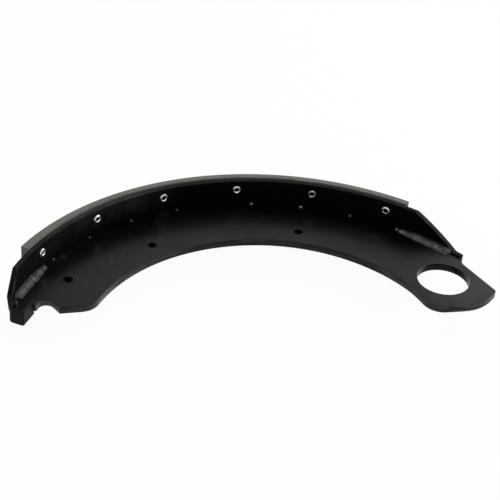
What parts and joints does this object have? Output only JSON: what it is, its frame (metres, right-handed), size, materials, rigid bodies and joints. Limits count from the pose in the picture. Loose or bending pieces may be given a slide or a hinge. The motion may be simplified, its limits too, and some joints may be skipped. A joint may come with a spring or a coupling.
{
  "type": "brake shoe",
  "caption": "Curved drum brake shoe: riveted friction lining on a rolled table, welded to a flat web with an anchor eye at one end and a half-round roller seat at the other.",
  "frame": {"origin": "centre of the anchor bore, in the middle plane of the web", "axes": "+Z along the anchor bore and the drum's axis, up when the shoe lies on its side; +Y from the drum's axis through the middle of the lining; +X towards the anchor end"},
  "size_m": [0.3598, 0.1822, 0.05],
  "materials": {
    "painted_steel": "satin black enamel on rolled and sheared plate",
    "cap_steel": "satin black enamel on a folded wear strip",
    "weld_bead": "thinly painted weld bead with ripples",
    "rivet_steel": "bright plated tubular rivet",
    "friction_lining": "matt grey moulded friction material with fine grain"
  },
  "bodies": {
    "root": {"web": "painted_steel", "table": "painted_steel", "nose_cap": "cap_steel", "lining": "friction_lining", "rivet_upper_1": "rivet_steel", "rivet_upper_2": "rivet_steel", "rivet_upper_3": "rivet_steel", "rivet_upper_4": "rivet_steel", "rivet_upper_5": "rivet_steel", "rivet_upper_6": "rivet_steel", "rivet_lower_1": "rivet_steel", "rivet_lower_2": "rivet_steel", "rivet_lower_3": "rivet_steel", "rivet_lower_4": "rivet_steel", "rivet_lower_5": "rivet_steel", "rivet_lower_6": "rivet_steel", "cam_weld_upper": "weld_bead", "anchor_weld_upper": "weld_bead", "cam_weld_lower": "weld_bead", "anchor_weld_lower": "weld_bead", "tack_welds_upper": "weld_bead", "tack_welds_lower": "weld_bead"}
  },
  "joints": []
}
